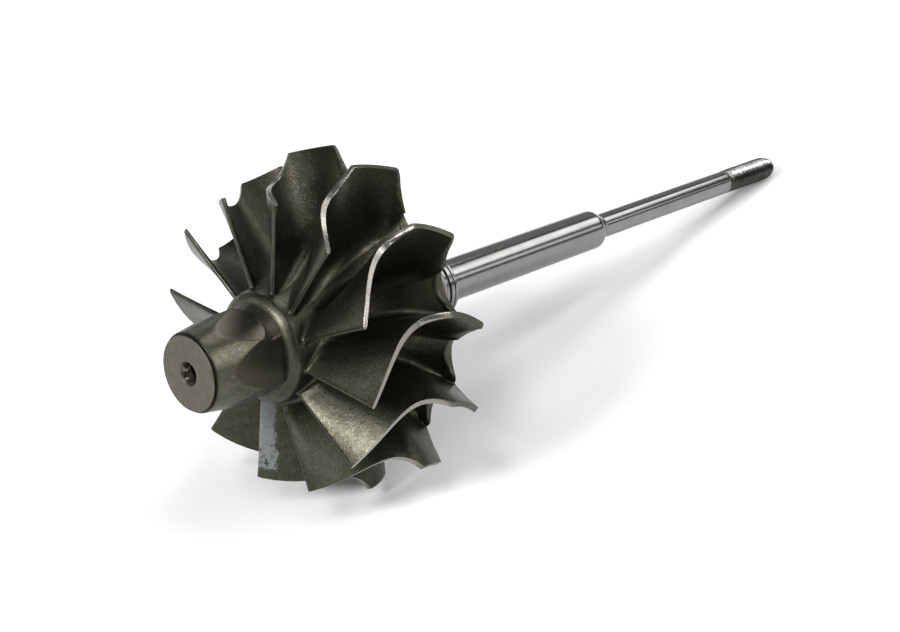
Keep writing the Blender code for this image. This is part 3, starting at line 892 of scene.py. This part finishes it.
def blade_vertex(work, from_edge, side, kind, at_root, at_tip, level):
    """One point of a blade's skin, at a station and a height level."""
    if kind == "front":
        base = (TRAILING_EDGE, TRAILING_EDGE)
    elif kind == "rear":
        base = (BLADE_BACK_ROOT, BLADE_BACK)
    else:
        base = (0.0, 0.0)
    root_z = base[0] + at_root
    tip_z = base[1] + at_tip
    root = flare_radius(root_z) - ROOT_SINK
    tip = tip_radius(tip_z)
    past_front = max(min((root_z - REAR_START) / REAR_LENGTH, 1.0), 0.0)
    near_front = max(1 - (root_z - TRAILING_EDGE) / FRONT_FILLET_LENGTH, 0.0)
    fillet = ROOT_FILLET + (FRONT_FILLET - ROOT_FILLET) * near_front
    fillet = min(fillet, FILLET_ROOM * (FILLET_END_RADIUS - root))
    upper = level - len(FILLET_HEIGHTS) + 1
    if upper < 1:
        above = FILLET_HEIGHTS[level] * fillet
        radius = root + above
    elif upper <= UPPER_ROWS:
        start = root + fillet
        radius = start + (tip - EDGE_CHAMFER - start) * upper / UPPER_ROWS
        above = radius - root
    else:
        radius = tip
        above = tip - root
    span = min(max((radius - root) / (tip - root), 0.0), 1.0)
    along = root_z + (tip_z - root_z) * span
    flare = fillet_width(above, fillet)
    if kind == "front":
        ahead = flare * FRONT_FLARE
        along = TRAILING_EDGE - ahead + at_root * (EDGE_ROUND + ahead) / EDGE_ROUND
    turn, rate = blade_turn(along)
    reach = min(max(along - TRAILING_EDGE, 0.0) / TIP_THICKENING_LENGTH, 1.0)
    tip_thickness = TIP_THICKNESS + TIP_THICKENING * reach
    thickness = ROOT_THICKNESS + (tip_thickness - ROOT_THICKNESS) * span
    widening = min(max((tip - radius) / REAR_WIDENING_REACH, 0.0), 1.0) ** REAR_WIDENING_POWER
    rear_thickness = REAR_TIP_THICKNESS + REAR_WIDENING * widening
    thickness += (rear_thickness - thickness) * past_front ** 2
    near_edge = max(1 - max(along - TRAILING_EDGE, 0.0) / EDGE_THINNING_LENGTH, 0.0)
    thickness -= EDGE_THINNING * ROOT_THICKNESS * (1 - span) * near_edge
    half = thickness / 2 + flare * (1 - past_front ** 2)
    edge_gap = None
    if kind == "front":
        edge_gap = at_root
    elif kind == "rear":
        edge_gap = -at_root
    if edge_gap is not None:
        half *= sqrt(max(1 - (1 - edge_gap / EDGE_ROUND) ** 2, 0.0))
    if upper > UPPER_ROWS:
        half = max(half - EDGE_CHAMFER, half * CHAMFERED_LEAST)
    angle = turn + radians(ROOT_LEAN) * (1 - span) ** 2
    normal = Vector((sin(angle), -cos(angle), radius * rate)).normalized()
    point = Vector((radius * cos(angle), radius * sin(angle), along))
    point += normal * side * half
    settled = radius + (flare_radius(point.z) - flare_radius(along)) * (1 - span) ** 2
    scale = settled / point.xy.length
    point.x *= scale
    point.y *= scale
    vertex = work.verts.new(point * MM)
    vertex[from_edge] = side * (along - TRAILING_EDGE)
    return vertex


# Geometry Nodes

def new_shape_tree(name, sizes):
    """A Geometry Nodes tree with a mesh in and out and named number inputs."""
    tree = bpy.data.node_groups.new(name, "GeometryNodeTree")
    tree.interface.new_socket("Geometry", in_out="INPUT", socket_type="NodeSocketGeometry")
    for label, kind in sizes:
        tree.interface.new_socket(label, in_out="INPUT", socket_type=kind)
    tree.interface.new_socket("Material", in_out="INPUT", socket_type="NodeSocketMaterial")
    tree.interface.new_socket("Geometry", in_out="OUTPUT", socket_type="NodeSocketGeometry")
    return tree, tree.nodes.new("NodeGroupInput"), tree.nodes.new("NodeGroupOutput")


def shaped_mesh(mesh, tree, values):
    """Runs a tree on a mesh with these input values and returns the plain result."""
    carrier = bpy.data.objects.new("carrier", mesh)
    bpy.context.scene.collection.objects.link(carrier)
    modifier = carrier.modifiers.new("shape", "NODES")
    modifier.node_group = tree
    for item in tree.interface.items_tree:
        if item.item_type == "SOCKET" and item.in_out == "INPUT" and item.name in values:
            modifier[item.identifier] = values[item.name]
    graph = bpy.context.evaluated_depsgraph_get()
    result = bpy.data.meshes.new_from_object(carrier.evaluated_get(graph))
    bpy.data.objects.remove(carrier)
    return result


def blade_ring_tree():
    """Repeats a blade round the axis and numbers the copies."""
    tree, given, made = new_shape_tree("blade_ring", [
        ("Blades", "NodeSocketInt"), ("First Angle", "NodeSocketFloat")])
    single = add_node(tree, "GeometryNodeGeometryToInstance", {0: given.outputs["Geometry"]})
    count = given.outputs["Blades"]
    points = add_node(tree, "GeometryNodePoints", {"Count": count})
    index = add_node(tree, "GeometryNodeInputIndex").outputs[0]
    numbered = add_node(tree, "GeometryNodeStoreNamedAttribute", {
        "Geometry": points.outputs[0], "Name": "blade_number"}, data_type="FLOAT", domain="POINT")
    tree.links.new(index, numbered.inputs["Value"])
    step = calculate(tree, "DIVIDE", 2 * pi, count)
    turn = calculate(tree, "MULTIPLY_ADD", index, step, given.outputs["First Angle"])
    direction = add_node(tree, "ShaderNodeCombineXYZ", {"Z": turn})
    ring = add_node(tree, "GeometryNodeInstanceOnPoints", {
        "Points": numbered.outputs[0], "Instance": single.outputs[0], "Rotation": direction.outputs[0]})
    real = add_node(tree, "GeometryNodeRealizeInstances", {"Geometry": ring.outputs[0]})
    painted = add_node(tree, "GeometryNodeSetMaterial", {
        "Geometry": real.outputs[0], "Material": given.outputs["Material"]})
    tree.links.new(painted.outputs[0], made.inputs["Geometry"])
    return tree


def thread_tree():
    """Cuts a helical groove into a rod whose axis is Z."""
    tree, given, made = new_shape_tree("screw_thread", [
        (label, "NodeSocketFloat") for label in ("Pitch", "Depth", "Start", "End", "Runout")])
    place = add_node(tree, "GeometryNodeInputPosition").outputs[0]
    parts = add_node(tree, "ShaderNodeSeparateXYZ", {"Vector": place})
    along = parts.outputs["Z"]
    angle = calculate(tree, "ARCTAN2", parts.outputs["Y"], parts.outputs["X"])
    turns = calculate(tree, "DIVIDE", angle, 2 * pi)
    phase = calculate(tree, "SUBTRACT", calculate(tree, "DIVIDE", along, given.outputs["Pitch"]), turns)
    wave = calculate(tree, "PINGPONG", phase, 0.5)
    groove = calculate(tree, "SUBTRACT", 1.0, remap(tree, wave, THREAD_ROOT, THREAD_CREST))
    fade_in = calculate(tree, "DIVIDE", calculate(tree, "SUBTRACT", along, given.outputs["Start"]),
                        given.outputs["Runout"], clamp=True)
    fade_out = calculate(tree, "DIVIDE", calculate(tree, "SUBTRACT", given.outputs["End"], along),
                         given.outputs["Runout"], clamp=True)
    amount = calculate(tree, "MULTIPLY", calculate(tree, "MULTIPLY", fade_in, fade_out), groove)
    depth = calculate(tree, "MULTIPLY", amount, given.outputs["Depth"])
    flat = add_node(tree, "ShaderNodeCombineXYZ", {"X": parts.outputs["X"], "Y": parts.outputs["Y"]})
    outward = add_node(tree, "ShaderNodeVectorMath", {0: flat.outputs[0]}, operation="NORMALIZE")
    inward = add_node(tree, "ShaderNodeVectorMath", {
        0: outward.outputs[0], "Scale": calculate(tree, "MULTIPLY", depth, -1.0)}, operation="SCALE")
    cut = add_node(tree, "GeometryNodeSetPosition", {
        "Geometry": given.outputs["Geometry"], "Offset": inward.outputs[0]})
    real = add_node(tree, "GeometryNodeRealizeInstances", {"Geometry": cut.outputs[0]})
    painted = add_node(tree, "GeometryNodeSetMaterial", {
        "Geometry": real.outputs[0], "Material": given.outputs["Material"]})
    tree.links.new(painted.outputs[0], made.inputs["Geometry"])
    return tree


# Pieces

def make_wheel(cast, turned):
    """The nose face, the casting from nose to weld boss, and the ring of blades."""
    slope = (HOLE_MOUTH_RADIUS - HOLE_PILOT_RADIUS) / HOLE_CONE_DEPTH
    inner = (PAD_LENGTH, HOLE_MOUTH_RADIUS - slope * PAD_LENGTH)
    pad = eased([
        inner, (0.0, HOLE_MOUTH_RADIUS), (0.0, PAD_RADIUS), (PAD_LENGTH, PAD_RADIUS), inner,
    ], PAD_EASE)
    mesh = turned_mesh("nose_face", lambda angle: pad, SHAFT_STEPS)
    finish_piece("nose_face", mesh, turned, ["nose_face_pad"])

    mesh = turned_mesh("wheel_casting", body_outline, BODY_STEPS, radians(HEX_CORNER_ANGLE))
    depth = mesh.attributes.new("ground_depth", "FLOAT", "POINT")
    for vertex, value in zip(mesh.vertices, depth.data):
        along = vertex.co.z / MM
        radius = vertex.co.xy.length / MM
        if NOSE_START < along < COLLAR_START and radius > HOLE_MOUTH_RADIUS:
            value.value = max(cone_radius(along) - radius, 0.0)
    finish_piece("wheel_casting", mesh, cast,
                 ["nose_hex", "nose_collar", "hub", "back_disc", "weld_boss"])

    mesh = shaped_mesh(blade_mesh(), blade_ring_tree(), {
        "Blades": BLADE_COUNT, "First Angle": radians(BLADE_TRAILING_ANGLE), "Material": cast})
    finish_piece("blade_ring", mesh, cast,
                 ["blade_%02d" % (number + 1) for number in range(BLADE_COUNT)])


def make_shaft(steel, threaded, bead):
    """The weld bead, the seal lands, the journal with its stub, and the cut thread."""
    def rod(name, outline, ease, material, nodes):
        shape = eased([(outline[0][0], 0.0)] + outline + [(outline[-1][0], 0.0)], ease)
        mesh = turned_mesh(name, lambda angle: shape, SHAFT_STEPS)
        finish_piece(name, mesh, material, nodes)

    seam = [(BOSS_END + (SEAM_END - BOSS_END) * part,
             BOSS_NECK_RADIUS + (SEAM_RADIUS - BOSS_NECK_RADIUS) * sin(pi * part))
            for part in spread(0, 1, SEAM_RINGS)]
    rod("weld_bead", seam, SEAM_EASE, bead, ["weld_seam"])
    notch_start = LAND_NOTCH - LAND_NOTCH_HALF
    notch_end = LAND_NOTCH + LAND_NOTCH_HALF
    notch_radius = SEAL_RADIUS - LAND_NOTCH_DEPTH
    rod("seal_lands", [
        (SEAM_END, BOSS_NECK_RADIUS), (SEAM_END + SEAL_SLOPE, BOSS_NECK_RADIUS),
        (SEAM_END + 2 * SEAL_SLOPE, SEAL_RADIUS),
        (SEAL_END, SEAL_RADIUS), (SEAL_END, GROOVE_RADIUS), (GROOVE_END, GROOVE_RADIUS),
        (GROOVE_END, SEAL_RADIUS), (notch_start, SEAL_RADIUS), (notch_start, notch_radius),
        (notch_end, notch_radius), (notch_end, SEAL_RADIUS), (LAND_END, SEAL_RADIUS),
    ], SEAL_EASE, steel, ["seal_boss", "seal_ring_groove", "rear_seal_land"])
    rod("shaft_journal_and_stub", [
        (LAND_END, JOURNAL_RADIUS), (JOURNAL_END, JOURNAL_RADIUS), (SHOULDER_END, SHOULDER_FOOT_RADIUS),
        (SHOULDER_END + SHOULDER_FOOT_LENGTH, STUB_RADIUS), (STUB_END, STUB_RADIUS),
    ], SHAFT_EASE, steel, ["bearing_journal", "journal_shoulder", "stub_shaft"])
    rings = [(along, STUB_RADIUS) for along in spread(STUB_END, THREAD_END, THREAD_RINGS)]
    tip = [(THREAD_END + (TIP_END - THREAD_END) * part,
            STUB_RADIUS * sqrt(1 - (TIP_ROUNDING * part) ** 2))
           for part in spread(0.0, 1.0, TIP_RINGS)[1:]]
    shape = [(STUB_END, 0.0)] + rings + tip + [(TIP_END, 0.0)]
    mesh = turned_mesh("thread_cut", lambda angle: shape, THREAD_STEPS)
    mesh = shaped_mesh(mesh, thread_tree(), {
        "Pitch": THREAD_PITCH * MM, "Depth": THREAD_DEPTH * MM, "Start": (STUB_END + THREAD_LEAD) * MM,
        "End": (TIP_END - THREAD_STOP) * MM, "Runout": THREAD_RUNOUT * MM, "Material": threaded})
    finish_piece("thread_cut", mesh, threaded, ["thread", "thread_tip"])


def make_studio():
    """Pale floor, white backdrop, soft lights and the camera."""
    mesh = bpy.data.meshes.new("floor")
    side = FLOOR_REACH
    corners = [(-side, -side, 0), (side, -side, 0), (side, side, 0), (-side, side, 0)]
    mesh.from_pydata(corners, [], [(0, 1, 2, 3)])
    floor = bpy.data.objects.new("floor", mesh)
    bpy.context.scene.collection.objects.link(floor)
    material, _, shader = new_material("pale_floor")
    shader.inputs["Base Color"].default_value = (FLOOR_SHADE, FLOOR_SHADE, FLOOR_SHADE, 1)
    shader.inputs["Roughness"].default_value = FLOOR_ROUGHNESS
    shader.inputs["Specular IOR Level"].default_value = 0.0
    mesh.materials.append(material)

    world = bpy.data.worlds.new("studio")
    world.use_nodes = True
    background = world.node_tree.nodes["Background"]
    background.inputs["Color"].default_value = (1.0, 1.0, 1.0, 1)
    seen = add_node(world.node_tree, "ShaderNodeLightPath").outputs["Is Camera Ray"]
    strength = remap(world.node_tree, seen, 0.0, 1.0, AMBIENT, 1.0)
    world.node_tree.links.new(strength, background.inputs["Strength"])
    bpy.context.scene.world = world

    for name, azimuth, elevation, half_width, half_height, brightness in SOFT_LIGHTS:
        light = bpy.data.lights.new(name, "AREA")
        light.shape = "RECTANGLE" if half_width > half_height else "DISK"
        light.size = 2 * LIGHT_DISTANCE * tan(radians(half_width))
        light.size_y = 2 * LIGHT_DISTANCE * tan(radians(half_height))
        light.energy = brightness * pi * LIGHT_DISTANCE ** 2
        lamp = bpy.data.objects.new(name, light)
        bpy.context.scene.collection.objects.link(lamp)
        across = cos(radians(elevation))
        out = Vector((across * cos(radians(azimuth)), across * sin(radians(azimuth)),
                      sin(radians(elevation))))
        lamp.location = Vector(LIT_POINT) + out * LIGHT_DISTANCE
        lamp.rotation_euler = out.to_track_quat("Z", "Y").to_euler()

    camera = bpy.data.cameras.new("camera")
    camera.lens = CAMERA_LENS
    camera.sensor_width = CAMERA_SENSOR
    camera.sensor_fit = "HORIZONTAL"
    camera.clip_start = CAMERA_NEAR
    camera.dof.use_dof = False
    viewer = bpy.data.objects.new("camera", camera)
    bpy.context.scene.collection.objects.link(viewer)
    viewer.location = CAMERA_PLACE
    viewer.rotation_euler = [radians(turn) for turn in CAMERA_TURN]
    bpy.context.scene.camera = viewer
    bpy.context.scene.view_settings.view_transform = "Standard"


cast = cast_skin()
turned = turned_face_finish()
steel = ground_steel_finish("ground_steel", STEEL_DARK, STEEL_LIGHT, STEEL_ROUGHNESS)
threaded = ground_steel_finish(
    "threaded_steel", THREAD_DARK, THREAD_LIGHT, THREAD_ROUGHNESS, THREAD_PAINTED_HIGHLIGHT)
make_wheel(cast, turned)
make_shaft(steel, threaded, weld_finish())
make_studio()
